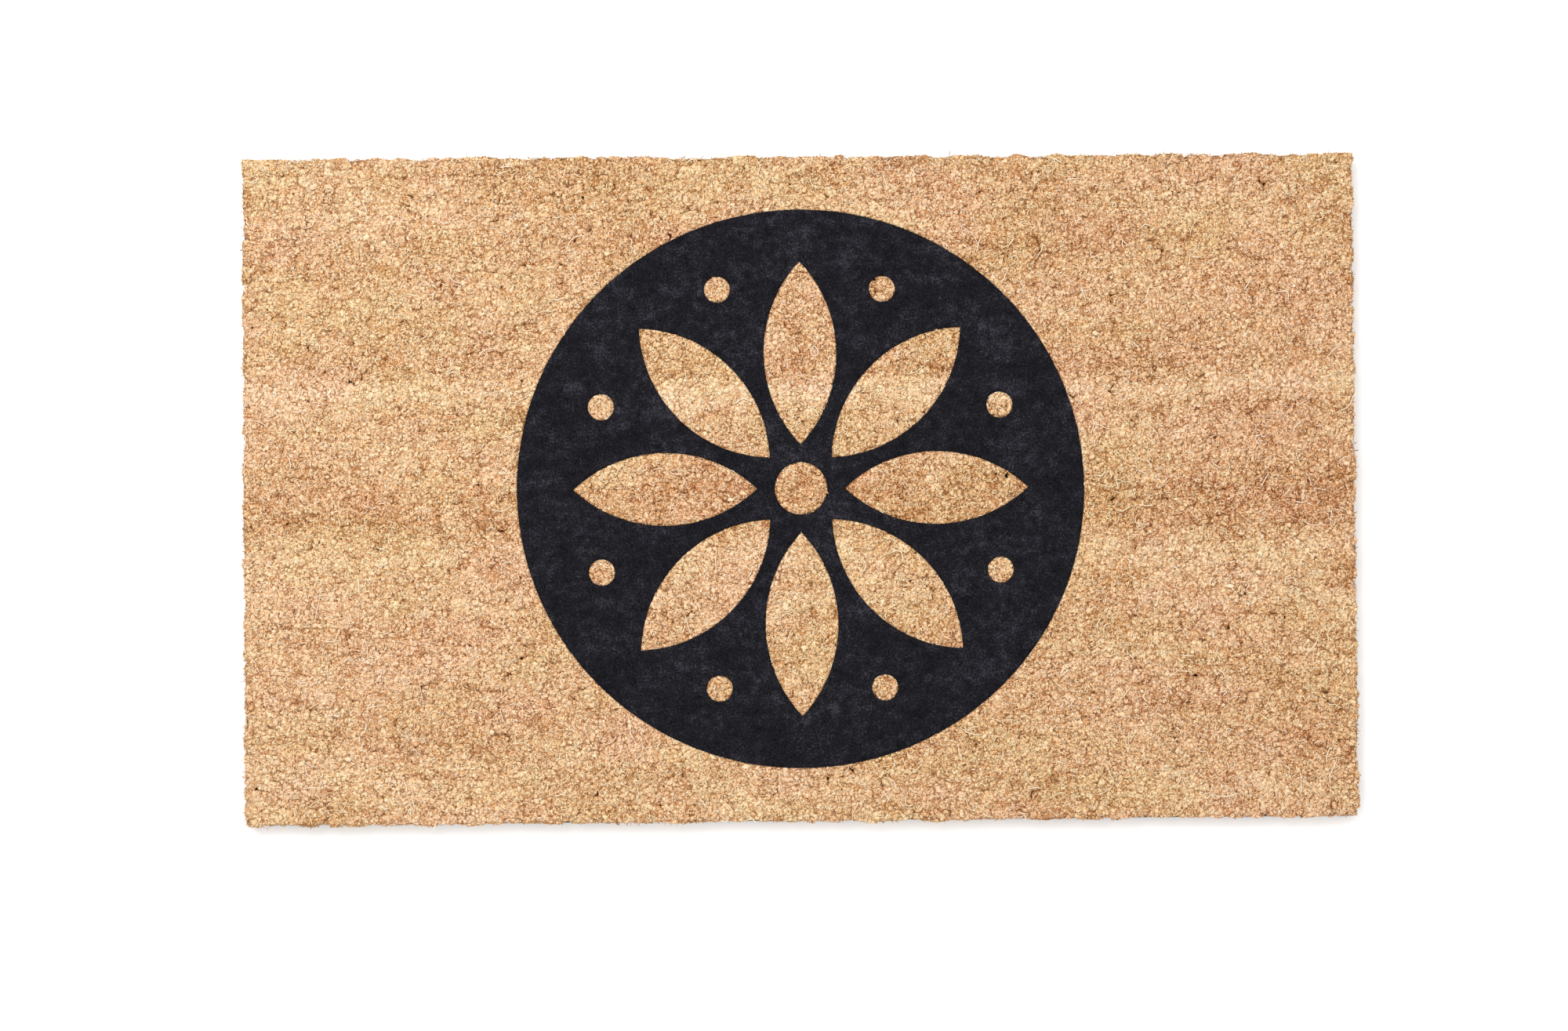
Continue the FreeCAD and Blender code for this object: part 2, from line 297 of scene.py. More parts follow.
# Height and share of the tuft's radius at each ring of its core, from the foot up.
CORE_RINGS = [(1.5 * MM, 0.8), (7.0 * MM, 1.05), (12.0 * MM, 1.8), (13.9 * MM, 1.4)]
CORE_PEAK, CORE_HEIGHT_SPREAD = 14.4 * MM, 0.3 * MM
CORE_SIDES = 5
CORE_TONE = -0.2                     # darker than the tuft, because light seldom reaches the core

# Depth below the top of a nub, share of its radius, and change of tone at each ring, from the foot up. The
# change of tone is painted shade, darkening the lower rings where the nubs crowd each other, and the top is
# painted a little lighter.
NUB_RINGS = [(2.2 * MM, 1.0, -0.1), (0.4 * MM, 0.8, -0.02)]
NUB_TOP_PAINTED_LIGHT = 0.02
NUB_TONE, NUB_TONE_SPREAD = -0.1, 0.06
NUB_SIDES = 5
NUBS_PER_TUFT = 7
NUB_TOP, NUB_TOP_SPREAD = 15.3 * MM, 0.27 * MM
NUB_SHARE, NUB_SHARE_SPREAD, NUB_SHARE_LIMITS = 0.5, 0.09, (0.3, 0.75)     # of the tuft's radius
NUB_REACH_LIMITS, NUB_REACH_POWER = (0.15, 1.0), 0.6           # the power draws them outward
NUB_TURN_SPREAD = 0.3
NUB_PROUD_SPREAD = 0.4 * MM

STRETCH_LIMITS = (0.8, 1.25)         # of a core or nub along one way, with the other way made up for it
UNEVENNESS = 0.15                    # spread of each point's distance from the middle, as a share of it

UNDER_PASTE = 13.3 * MM              # how high the pile stands where the print covers it
PRESSED_MARGIN = 0.4 * MM            # and this far around it
TOPS_BEGIN = 9 * MM                  # above this height the pile may stand past the edge of the mat
PROUD_LIMITS = (-2.2 * MM, 1.9 * MM)
FOOT_PROUD = -0.3 * MM


def add_turned(stock, centres, heights, radii, tones, sides, proud):
    """Closed uneven round solids: centres (count, 2), the rest (count, rings), and a peak as the last ring.

    Near their tops they reach at most proud past the edge of the mat, and lower down they stay inside it.
    """
    count, rings = len(centres), heights.shape[1] - 1
    turn = around(sides) + RNG.uniform(0, math.pi, (count, 1, 1))
    stretch = RNG.uniform(*STRETCH_LIMITS, (count, 1, 1))
    reach = radii[:, :rings, None] * RNG.normal(1, UNEVENNESS, (count, rings, sides))
    across, along = reach * np.cos(turn) * stretch, reach * np.sin(turn) / stretch
    swing = RNG.uniform(0, math.pi, (count, 1, 1))
    points = np.stack([
        centres[:, 0, None, None] + across * np.cos(swing) - along * np.sin(swing),
        centres[:, 1, None, None] + across * np.sin(swing) + along * np.cos(swing),
        np.broadcast_to(heights[:, :rings, None], reach.shape),
    ], axis=-1).reshape(count, -1, 3)
    points = np.concatenate([points, np.c_[centres, heights[:, -1]][:, None]], axis=1)
    past = np.where(points[..., 2] > TOPS_BEGIN, np.clip(proud, *PROUD_LIMITS)[:, None], FOOT_PROUD)
    points[..., 0] = np.clip(points[..., 0], -HALF_LENGTH - past, HALF_LENGTH + past)
    points[..., 1] = np.clip(points[..., 1], -HALF_WIDTH - past, HALF_WIDTH + past)
    pressed = print_depth(points[..., 0], points[..., 1]) > -PRESSED_MARGIN
    points[..., 2] = np.where(pressed, np.minimum(points[..., 2], UNDER_PASTE), points[..., 2])
    quads, foot, _ = stack_faces(rings, sides)
    peak = rings * sides
    last = np.arange(peak - sides, peak)
    cap = np.c_[last, np.roll(last, -1), np.full(sides, peak)]
    each = np.concatenate([np.repeat(tones[:, :rings], sides, axis=1), tones[:, rings:]], axis=1)
    stock.add_solids(points, each.ravel(), quads, np.concatenate([cap, foot]))


def add_cores(stock, chosen):
    """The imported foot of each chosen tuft, dark between the nubs, from the backing nearly to the top."""
    heights, shares = np.array(CORE_RINGS).T
    above_foot = np.arange(len(heights) + 1) > 0
    heights = np.append(heights, CORE_PEAK) + RNG.normal(0, CORE_HEIGHT_SPREAD, (len(chosen), 1)) * above_foot
    radii = shares * RADII[chosen][:, None]
    tones = np.repeat(TONES[chosen][:, None] + CORE_TONE, heights.shape[1], axis=1)
    add_turned(stock, CENTRES[chosen], heights, radii, tones, CORE_SIDES, PROUD[chosen])


def add_nubs(stock, chosen):
    """The rounded ends of the yarn's strands, pressed against each other across the top of the tuft."""
    owner = np.repeat(chosen, NUBS_PER_TUFT)
    count = len(owner)
    first = np.repeat(RNG.uniform(0, 2 * math.pi, len(chosen)), NUBS_PER_TUFT)
    turn = np.tile(around(NUBS_PER_TUFT), len(chosen)) + first + RNG.normal(0, NUB_TURN_SPREAD, count)
    reach = RADII[owner] * RNG.uniform(*NUB_REACH_LIMITS, count) ** NUB_REACH_POWER
    centres = CENTRES[owner] + reach[:, None] * np.c_[np.cos(turn), np.sin(turn)]
    depths, shares, painted_shades = np.array(NUB_RINGS).T
    tops = np.minimum(NUB_TOP + RNG.normal(0, NUB_TOP_SPREAD, count), PILE_TOP)
    heights = tops[:, None] - np.append(depths, 0)
    size = RADII[owner] * np.clip(RNG.normal(NUB_SHARE, NUB_SHARE_SPREAD, count), *NUB_SHARE_LIMITS)
    radii = shares * size[:, None]
    tones = TONES[owner] + RNG.normal(NUB_TONE, NUB_TONE_SPREAD, count)
    # Painted shade: each nub is darker on its lower rings and a little lighter at its top.
    tones = tones[:, None] + np.append(painted_shades, NUB_TOP_PAINTED_LIGHT)
    proud = PROUD[owner] + RNG.normal(0, NUB_PROUD_SPREAD, count)
    add_turned(stock, centres, heights, radii, tones, NUB_SIDES, proud)


# ---- the fibres on top of the tufts ----------------------------------------------------------------------

ENDS_PER_TUFT = 4
PRINTED_ENDS_PER_TUFT = 10
END_FOOT_HEIGHT, END_FOOT_FALL = 13.4 * MM, 1.3 * MM
END_FOOT_REACH, END_TIP_REACH = 0.9, 1.12            # as shares of the tuft's radius
END_TIP_DEPTH = 0.3 * MM
END_TIP_SPREAD = (1.0 * MM, 1.0 * MM, 0.35 * MM)
HIGHEST_TIP = PILE_TOP + 0.5 * MM
DOME_FALL = 1.2 * MM                 # how much lower a tuft is at its radius than at its middle
END_RADII = np.array([0.32, 0.24]) * MM
PRINTED_END_RADII = np.array([0.32, 0.25]) * MM
END_RADIUS_SHARES = (0.8, 1.25)
END_TONE, END_TONE_SPREAD = -0.06, 0.22

BENT_PER_TUFT = 20
BENT_REACH = 1.12
BENT_LENGTH, BENT_LENGTH_SPREAD, BENT_LENGTH_LIMITS = 4.4 * MM, 0.3, (2 * MM, 8 * MM)
BENT_BOW = 0.16
BENT_RADIUS, BENT_RADIUS_SHARES = 0.37 * MM, (0.7, 1.3)
BENT_DEPTH = 0.5 * MM
BENT_LIFT, BENT_LIFT_SPREAD = 0.12 * MM, 0.3 * MM
BENT_END_RISE, BENT_MIDDLE_RISE = -0.6 * MM, 0.2 * MM
# The middle value is painted shade: bent fibres lying farther out from their tuft's middle, in the gaps
# between tufts, are painted darker.
BENT_TONE, BENT_RIM_SHADE, BENT_TONE_SPREAD = 0.1, -0.25, 0.2
FALL_ENDS = 1.3                      # in tuft radii, where a tuft's dome stops falling


def fibre_ends(chosen, per_tuft):
    """Feet, tips and tones of the cut fibre ends that stand out of the domes of the chosen tufts."""
    owner = np.repeat(chosen, per_tuft)
    count = len(owner)
    share = np.sqrt(RNG.uniform(0, 1, count))
    turn = RNG.uniform(0, 2 * math.pi, count)
    ray = np.c_[np.cos(turn), np.sin(turn)]
    feet = np.c_[
        CENTRES[owner] + (END_FOOT_REACH * RADII[owner] * share)[:, None] * ray,
        END_FOOT_HEIGHT - END_FOOT_FALL * share**2,
    ]
    tips = np.c_[
        CENTRES[owner] + (END_TIP_REACH * RADII[owner] * share)[:, None] * ray,
        PILE_TOP - END_TIP_DEPTH - DOME_FALL * share**2,
    ]
    tips += RNG.normal(0, END_TIP_SPREAD, (count, 3))
    tips[:, 2] = np.minimum(tips[:, 2], HIGHEST_TIP)
    tones = TONES[owner] + RNG.normal(END_TONE, END_TONE_SPREAD, count)
    return feet, tips, tones


def add_fibre_ends(stock, chosen):
    """The cut ends of the yarn's fibres, outside the printed area."""
    feet, tips, tones = fibre_ends(chosen, ENDS_PER_TUFT)
    middles = (feet + tips) / 2
    bare = np.maximum(print_depth(*tips[:, :2].T), print_depth(*middles[:, :2].T)) <= 0
    radii = RNG.uniform(*END_RADIUS_SHARES, (bare.sum(), 1)) * END_RADII
    tubes(stock, np.stack([feet, tips], axis=1)[bare], radii, tones[bare])


def add_bent_fibres(stock, chosen):
    """Fibres that bend over and lie across the top of their tuft and of the gaps beside it."""
    owner = np.repeat(chosen, BENT_PER_TUFT)
    count = len(owner)
    place = BENT_REACH * np.sqrt(RNG.uniform(0, 1, count))
    turn = RNG.uniform(0, 2 * math.pi, count)
    middle = (place * RADII[owner])[:, None] * np.c_[np.cos(turn), np.sin(turn)]
    heading = RNG.uniform(0, 2 * math.pi, count)
    length = np.clip(RNG.lognormal(math.log(BENT_LENGTH), BENT_LENGTH_SPREAD, count), *BENT_LENGTH_LIMITS)
    half = 0.5 * length[:, None] * np.c_[np.cos(heading), np.sin(heading)]
    bow = RNG.normal(0, BENT_BOW, (count, 1)) * half[:, ::-1] * [1, -1]
    lift = RNG.normal(BENT_LIFT, BENT_LIFT_SPREAD, count)
    offsets = (middle - half, middle + bow, middle + half)
    rises = (BENT_END_RISE, BENT_MIDDLE_RISE, BENT_END_RISE)
    places = []
    for offset, rise in zip(offsets, rises):
        share = np.minimum(np.linalg.norm(offset, axis=1) / RADII[owner], FALL_ENDS)
        height = PILE_TOP - BENT_DEPTH - DOME_FALL * share**2 + lift + rise
        places.append(np.c_[CENTRES[owner] + offset, height])
    paths = np.stack(places, axis=1)
    bare = print_depth(paths[..., 0], paths[..., 1]).max(axis=1) <= 0
    reach_x, reach_y = np.abs(paths[..., 0]).max(axis=1), np.abs(paths[..., 1]).max(axis=1)
    kept = bare & (reach_x < HALF_LENGTH) & (reach_y < HALF_WIDTH)
    # Painted shade: the farther out a fibre lies, in the gaps between tufts, the darker it is painted.
    tones = TONES[owner] + BENT_TONE + BENT_RIM_SHADE * place**2
    tones += RNG.normal(0, BENT_TONE_SPREAD, count)
    radii = RNG.uniform(*BENT_RADIUS_SHARES, kept.sum()) * BENT_RADIUS
    slivers(stock, *paths[kept].transpose(1, 0, 2), radii, tones[kept])


def make_rows(number, name, material):
    """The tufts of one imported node: three neighbouring rows."""
    chosen = np.flatnonzero(ROWS // ROWS_PER_GROUP == number)
    stock = Stock()
    add_cores(stock, chosen)
    add_nubs(stock, chosen)
    add_fibre_ends(stock, chosen)
    add_bent_fibres(stock, chosen)
    piece = stock.piece(name + "_coir", material)
    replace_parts(piece, name)


# ---- the sides of the pile -------------------------------------------------------------------------------

SIDE_FIBRES_PER_TUFT = 44
SIDE_FIBRE_RADII = np.array([0.27, 0.25, 0.18]) * MM
SIDE_FAN = 1.7                       # how far to each side of straight out they grow, in radians
SIDE_REACHES = (0.85, 0.95, 1.12)    # from the tuft's middle at foot, waist and tip, in tuft radii
SIDE_WOBBLES = (0.2 * MM, 0.4 * MM, 1.3 * MM)
SIDE_REACH_SHARES = (0.85, 1.0)
SIDE_PROUD_EXTRA, SIDE_PROUD_SHIFT, SIDE_PROUD_LIMIT = 0.5 * MM, -0.3 * MM, 4 * MM
SIDE_FOOT_INSET = 0.4 * MM
SIDE_DEPTH = 0.98                    # how deep a band of tufts they grow from, in rows or tufts
FOOT_DEPTHS, WAIST_HEIGHTS, TIP_DEPTHS = (0.2, 0.9), (7, 10), (0.1, 2.2)       # in millimetres
SIDE_TONE, SIDE_TONE_SPREAD = 0.04, 0.2


def make_side_fibres(name, outward, material):
    """Whole fibres down one cut side of the pile, from the backing to the tips."""
    out = np.array(outward, float)
    limit = HALF_LENGTH if out[0] else HALF_WIDTH
    pitch = TUFT_PITCH if out[0] else ROW_PITCH
    chosen = np.flatnonzero(CENTRES @ out > limit - SIDE_DEPTH * pitch)
    owner = np.repeat(chosen, SIDE_FIBRES_PER_TUFT)
    count = len(owner)
    turn = math.atan2(out[1], out[0]) + RNG.uniform(-SIDE_FAN, SIDE_FAN, count)
    ray = np.c_[np.cos(turn), np.sin(turn)]
    heights = np.stack([
        BACKING_TOP - RNG.uniform(*FOOT_DEPTHS, count) * MM,
        RNG.uniform(*WAIST_HEIGHTS, count) * MM,
        PILE_TOP - RNG.uniform(*TIP_DEPTHS, count) * MM,
    ], axis=1)
    paths = np.empty((count, 3, 3))
    for k, (share, wobble) in enumerate(zip(SIDE_REACHES, SIDE_WOBBLES)):
        reach = share * RADII[owner] * RNG.uniform(*SIDE_REACH_SHARES, count)
        paths[:, k, :2] = CENTRES[owner] + reach[:, None] * ray + RNG.normal(0, wobble, (count, 2))
    paths[:, :, 2] = heights
    proud = PROUD[owner] + RNG.exponential(SIDE_PROUD_EXTRA, count) + SIDE_PROUD_SHIFT
    proud = np.minimum(proud, SIDE_PROUD_LIMIT)[:, None]
    for axis, half_size in enumerate((HALF_LENGTH, HALF_WIDTH)):
        foot_limit = half_size - SIDE_FOOT_INSET
        paths[:, :, axis] = np.clip(paths[:, :, axis], -half_size - proud, half_size + proud)
        paths[:, 0, axis] = np.clip(paths[:, 0, axis], -foot_limit, foot_limit)
    tones = TONES[owner] + RNG.normal(SIDE_TONE, SIDE_TONE_SPREAD, count)
    stock = Stock()
    tubes(stock, paths, SIDE_FIBRE_RADII, tones)
    stock.piece(name, material)


# ---- the print -------------------------------------------------------------------------------------------

PASTE_STEP = 1.6 * MM
PASTE_THICKNESS = 0.8 * MM
PASTE_LEVEL = 15.1 * MM
PASTE_SINK, PASTE_SINK_ENDS = 0.75 * MM, 1.3         # at one tuft radius, and the radius where it stops
PASTE_LIFT, PASTE_LIFT_FROM = 0.2, 3.1 * MM          # tufts larger than this carry the paste higher
PASTE_MARGIN = 0.6                   # from the rim to the nearest inner point, in steps
CHUNK = 2000                         # points handled at a time
PRINTED_REACH = 4 * MM               # tufts this far outside the print still send ends into it
PRINTED_INSET = 0.2 * MM             # and those ends stay this far inside it
MERGE_DISTANCE = 1e-6


def paste_height(x, y):
    """The top of the paste: it lies on the domes of the tufts and sinks a little between them."""
    nearest, dome = np.empty(x.shape), np.empty(x.shape)
    for start in range(0, len(x), CHUNK):
        part = slice(start, start + CHUNK)
        low, high = y[part].min() - 2 * ROW_PITCH, y[part].max() + 2 * ROW_PITCH
        near = np.flatnonzero((CENTRES[:, 1] > low) & (CENTRES[:, 1] < high))
        gap = np.hypot(x[part, None] - CENTRES[near, 0], y[part, None] - CENTRES[near, 1]) / RADII[near]
        closest = gap.argmin(axis=1)
        nearest[part] = gap[np.arange(len(gap)), closest]
        dome[part] = RADII[near][closest]
    sink = PASTE_SINK * np.clip(nearest, 0, PASTE_SINK_ENDS) ** 2
    return PASTE_LEVEL - sink + PASTE_LIFT * (dome - PASTE_LIFT_FROM)


def paste_plan():
    """The print seen from above, in triangles: its rim and openings, and an even net of points between."""
    turn = around(RIM_POINTS)
    rim = np.c_[DISC_HALF_LENGTH * np.cos(turn), DISC_HALF_WIDTH * np.sin(turn)]
    loops = [rim] + [loop[::-1] for loop in figure_outlines()]
    points, edges = [], []
    for loop in loops:
        first = len(points)
        points += [Vector(point) for point in loop]
        edges += [(first + k, first + (k + 1) % len(loop)) for k in range(len(loop))]
    columns = np.arange(-DISC_HALF_LENGTH, DISC_HALF_LENGTH, PASTE_STEP)
    lines = np.arange(-DISC_HALF_WIDTH, DISC_HALF_WIDTH, PASTE_STEP * math.sqrt(3) / 2)
    x = (columns[None] + PASTE_STEP / 2 * (np.arange(len(lines)) % 2)[:, None]).ravel()
    y = np.repeat(lines, len(columns))
    inner = print_depth(x, y) > PASTE_MARGIN * PASTE_STEP
    points += [Vector(point) for point in np.c_[x, y][inner]]
    plan = geometry.delaunay_2d_cdt(points, edges, [], 0, MERGE_DISTANCE)
    places = np.array([point[:] for point in plan[0]])
    triangles = np.array(plan[2])
    middles = places[triangles].mean(axis=1)
    triangles = triangles[print_depth(*middles.T) > 0]
    used, triangles = np.unique(triangles, return_inverse=True)
    return places[used], triangles.reshape(-1, 3)


def make_paste(material):
    """The printed disc as one closed layer that follows the tops of the tufts."""
    places, triangles = paste_plan()
    order = np.argsort(places[:, 1], kind="stable")
    rank = np.empty_like(order)
    rank[order] = np.arange(len(order))
    places, triangles = places[order], rank[triangles]
    height = paste_height(places[:, 0], places[:, 1])
    count = len(places)
    top, bottom = np.c_[places, height], np.c_[places, height - PASTE_THICKNESS]
    sides = np.concatenate([triangles[:, [0, 1]], triangles[:, [1, 2]], triangles[:, [2, 0]]])
    _, place, seen = np.unique(np.sort(sides, axis=1), axis=0, return_index=True, return_counts=True)
    border = sides[place[seen == 1]]
    wall = np.c_[border[:, 1], border[:, 0], border[:, 0] + count, border[:, 1] + count]
    stock = Stock()
    faces = np.concatenate([triangles, triangles[:, ::-1] + count])
    stock.add(np.concatenate([top, bottom]), EVEN_TONE, wall, faces)
    piece = stock.piece("printed_disc_paste", material)
    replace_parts(piece, "printed_disc")


def make_printed_ends(material):
    """The fibre ends that stand up through the paste, covered in it."""
    near = np.flatnonzero(print_depth(*CENTRES.T) > -PRINTED_REACH)
    feet, tips, tones = fibre_ends(near, PRINTED_ENDS_PER_TUFT)
    inside = np.minimum(print_depth(*feet[:, :2].T), print_depth(*tips[:, :2].T)) > PRINTED_INSET
    stock = Stock()
    tubes(stock, np.stack([feet, tips], axis=1)[inside], PRINTED_END_RADII, tones[inside])
    stock.piece("printed_fibre_ends", material)


# ---- the backing -----------------------------------------------------------------------------------------

CORNER_RADIUS, CORNER_POINTS = 1.5 * MM, 5
LOWER_BEVEL, LOWER_BEVEL_HEIGHT, UPPER_BEVEL = 0.5 * MM, 0.4 * MM, 0.3 * MM
STUD_PITCH = 12 * MM
STUD_HEIGHT, STUD_BEDDING = 0.35 * MM, 0.2 * MM
STUD_FOOT_SHARE, STUD_ROOT_SHARE = 0.62, 0.74        # of the pitch


def rounded_outline(half_length, half_width, radius):
    """A rectangle with round corners, anticlockwise from its near right-hand corner."""
    outline = []
    for corner, (sx, sy) in enumerate(((1, -1), (1, 1), (-1, 1), (-1, -1))):
        for k in range(CORNER_POINTS):
            turn = math.pi / 2 * (corner - 1 + k / (CORNER_POINTS - 1))
            outline.append((
                sx * (half_length - radius) + radius * math.cos(turn),
                sy * (half_width - radius) + radius * math.sin(turn),
            ))
    return np.array(outline)


def add_studs(stock):
    """Low square studs under the sheet, on which it stands."""
    along = int(2 * HALF_LENGTH / STUD_PITCH)
    across = int(2 * HALF_WIDTH / STUD_PITCH)
    x = (np.arange(along) - (along - 1) / 2) * STUD_PITCH
    y = (np.arange(across) - (across - 1) / 2) * STUD_PITCH
    centres = np.stack(np.meshgrid(x, y), axis=-1).reshape(-1, 1, 2)
    square = np.array([(-1, -1), (1, -1), (1, 1), (-1, 1)]) * STUD_PITCH / 2
    points = np.concatenate([
        np.dstack([centres + STUD_FOOT_SHARE * square, np.zeros((len(centres), 4))]),
        np.dstack([
            centres + STUD_ROOT_SHARE * square,
            np.full((len(centres), 4), STUD_HEIGHT + STUD_BEDDING),
        ]),
    ], axis=1)
    box = np.array([(0, 1, 5, 4), (1, 2, 6, 5), (2, 3, 7, 6), (3, 0, 4, 7), (3, 2, 1, 0), (4, 5, 6, 7)])
    stock.add_solids(points, EVEN_TONE, box, NO_TRIANGLES, smooth=False)


def make_backing(material):
    """The cast sheet with softened edges, on rows of low square studs."""
    levels = [
        (STUD_HEIGHT, LOWER_BEVEL),
        (STUD_HEIGHT + LOWER_BEVEL_HEIGHT, 0),
        (BACKING_TOP - UPPER_BEVEL, 0),
        (BACKING_TOP, UPPER_BEVEL),
    ]
    rings = []
    for height, inset in levels:
        flat = rounded_outline(HALF_LENGTH - inset, HALF_WIDTH - inset, CORNER_RADIUS)
        rings.append(np.c_[flat, np.full(len(flat), height)])
    quads, lower, upper = stack_faces(len(rings), len(rings[0]))
    stock = Stock()
    stock.add(np.concatenate(rings), EVEN_TONE, quads, np.concatenate([lower, upper]), smooth=False)
    add_studs(stock)
    piece = stock.piece("backing_sheet_vinyl", material)
    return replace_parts(piece, "backing_sheet")


# ---- loose fibres and pith -------------------------------------------------------------------------------

STRAY_COUNT, STRAY_POINTS = 760, 12
STRAY_LENGTH, STRAY_LENGTH_SPREAD, STRAY_LENGTH_LIMITS = 9 * MM, 0.45, (4 * MM, 26 * MM)
LOOPED_SHARE = 0.07
STRAY_TAPER = [(0, 0.7), (0.15, 1), (0.8, 0.9), (1, 0.4)]        # (place along it, share of its radius)
STRAY_DEPTH = 0.7 * MM
STRAY_RADII, STRAY_LIFTS = (0.2, 0.36), (0.5, 1.3)              # in millimetres
STRAY_ARCH = 0.6                     # the power that makes their arch flatter than a sine
STRAY_TONES = (0.7, 1.15)
STRAY_CURL, LOOP_CURLS, STRAY_SWAY = 0.9, (4, 7), 0.5          # in radians
STRAY_PROUD = 4 * MM
STRAY_PRINT_GAP, PITH_PRINT_GAP = 0.5 * MM, 3 * MM

PITH_COUNT, PITH_SIDES, PITH_RINGS = 110, 9, 5
PITH_INSET = 8 * MM
PITH_SIZE, PITH_SIZE_SPREAD, PITH_SIZE_LIMITS = 0.8 * MM, 0.4, (0.4 * MM, 1.8 * MM)
PITH_POLE_GAP = 0.25                 # radians from the poles to the first and last ring
PITH_FLATNESS = 0.35
PITH_LUMPS, PITH_STRETCH, PITH_TONES = (0.65, 1.2), (0.8, 1.5), (0.5, 0.75)
PITH_DEPTH = 0.6 * MM


def make_strays(material):
    """Long loose fibres lying on the bare pile, some straight, most curved and a few curled right round."""
    x = RNG.uniform(-HALF_LENGTH, HALF_LENGTH, STRAY_COUNT)
    y = RNG.uniform(-HALF_WIDTH, HALF_WIDTH, STRAY_COUNT)
    length = RNG.lognormal(math.log(STRAY_LENGTH), STRAY_LENGTH_SPREAD, STRAY_COUNT)
    length = np.clip(length, *STRAY_LENGTH_LIMITS)
    curl = RNG.normal(0, STRAY_CURL, STRAY_COUNT)
    looped = RNG.uniform(0, 1, STRAY_COUNT) < LOOPED_SHARE
    loop = RNG.choice([-1, 1], STRAY_COUNT) * RNG.uniform(*LOOP_CURLS, STRAY_COUNT)
    curl = np.where(looped, loop, curl)
    along = np.linspace(0, 1, STRAY_POINTS)
    sway = RNG.normal(0, STRAY_SWAY, (STRAY_COUNT, 1)) * np.sin(2 * math.pi * along)
    heading = RNG.uniform(0, 2 * math.pi, (STRAY_COUNT, 1)) + curl[:, None] * along + sway
    step = length[:, None] / (STRAY_POINTS - 1)
    lift = RNG.uniform(*STRAY_LIFTS, (STRAY_COUNT, 1))
    paths = np.stack([
        x[:, None] + np.cumsum(step * np.cos(heading), axis=1),
        y[:, None] + np.cumsum(step * np.sin(heading), axis=1),
        PILE_TOP - STRAY_DEPTH + lift * MM * np.sin(math.pi * along) ** STRAY_ARCH,
    ], axis=-1)
    kept = (
        (print_depth(paths[..., 0], paths[..., 1]).max(axis=1) < -STRAY_PRINT_GAP)
        & (np.abs(paths[..., 0]).max(axis=1) < HALF_LENGTH + STRAY_PROUD)
        & (np.abs(paths[..., 1]).max(axis=1) < HALF_WIDTH + STRAY_PROUD)
    )
    taper = np.interp(along, *np.array(STRAY_TAPER).T)
    radii = RNG.uniform(*STRAY_RADII, (kept.sum(), 1)) * MM * taper
    tones = RNG.uniform(*STRAY_TONES, kept.sum())
    stock = Stock()
    tubes(stock, paths[kept], radii, tones, sides=4)
    stock.piece("stray_fibres", material)


def make_pith(material):
    """Small pale crumbs of coconut pith caught between the tufts."""
    x = RNG.uniform(PITH_INSET - HALF_LENGTH, HALF_LENGTH - PITH_INSET, PITH_COUNT)
    y = RNG.uniform(PITH_INSET - HALF_WIDTH, HALF_WIDTH - PITH_INSET, PITH_COUNT)
    kept = print_depth(x, y) < -PITH_PRINT_GAP
    x, y = x[kept], y[kept]
    count = len(x)
    tilt = np.linspace(PITH_POLE_GAP, math.pi - PITH_POLE_GAP, PITH_RINGS)[None, :, None]
    turn = around(PITH_SIDES) + RNG.uniform(0, math.pi, (count, 1, 1))
    size = RNG.lognormal(math.log(PITH_SIZE), PITH_SIZE_SPREAD, (count, 1, 1))
    lumps = np.clip(size, *PITH_SIZE_LIMITS) * RNG.uniform(*PITH_LUMPS, (count, PITH_RINGS, PITH_SIDES))
    points = np.stack([
        x[:, None, None] + lumps * np.sin(tilt) * np.cos(turn) * RNG.uniform(*PITH_STRETCH, (count, 1, 1)),
        y[:, None, None] + lumps * np.sin(tilt) * np.sin(turn),
        PILE_TOP - PITH_DEPTH + PITH_FLATNESS * lumps * np.cos(tilt),
    ], axis=-1).reshape(count, -1, 3)
    quads, upper, lower = stack_faces(PITH_RINGS, PITH_SIDES)
    triangles = turned_over(np.concatenate([upper, lower]))
    tones = np.repeat(RNG.uniform(*PITH_TONES, count), PITH_RINGS * PITH_SIDES)
    stock = Stock()
    stock.add_solids(points, tones, quads[:, ::-1], triangles)      # turned over: the first ring is the top
    stock.piece("pith_crumbs", material)


# ---- materials -------------------------------------------------------------------------------------------


def linear(red, green, blue):
    """A colour given as seen on a screen, 0 to 255, as the linear values that a shader takes."""
    shares = (value / 255 for value in (red, green, blue))
    return tuple(s / 12.92 if s <= 0.04045 else ((s + 0.055) / 1.055) ** 2.4 for s in shares) + (1.0,)


def new_material(name, **settings):
    """A material with its Principled shader, its sockets set by name."""
    material = bpy.data.materials.new(name)
    material.use_nodes = True
    nodes, links = material.node_tree.nodes, material.node_tree.links
    shader = nodes["Principled BSDF"]
    for socket, value in settings.items():
        shader.inputs[socket.replace("_", " ")].default_value = value
    return material, nodes, links, shader


def noise(nodes, links, scale, detail=2.0, stretch=(1, 1, 1)):
    """A noise pattern fixed to the object, scale in lumps per metre."""
    where = nodes.new("ShaderNodeTexCoord")
    mapping = nodes.new("ShaderNodeMapping")
    mapping.inputs["Scale"].default_value = stretch
    texture = nodes.new("ShaderNodeTexNoise")
    texture.inputs["Scale"].default_value = scale
    texture.inputs["Detail"].default_value = detail
    links.new(where.outputs["Object"], mapping.inputs["Vector"])
    links.new(mapping.outputs["Vector"], texture.inputs["Vector"])
    return texture.outputs["Fac"]


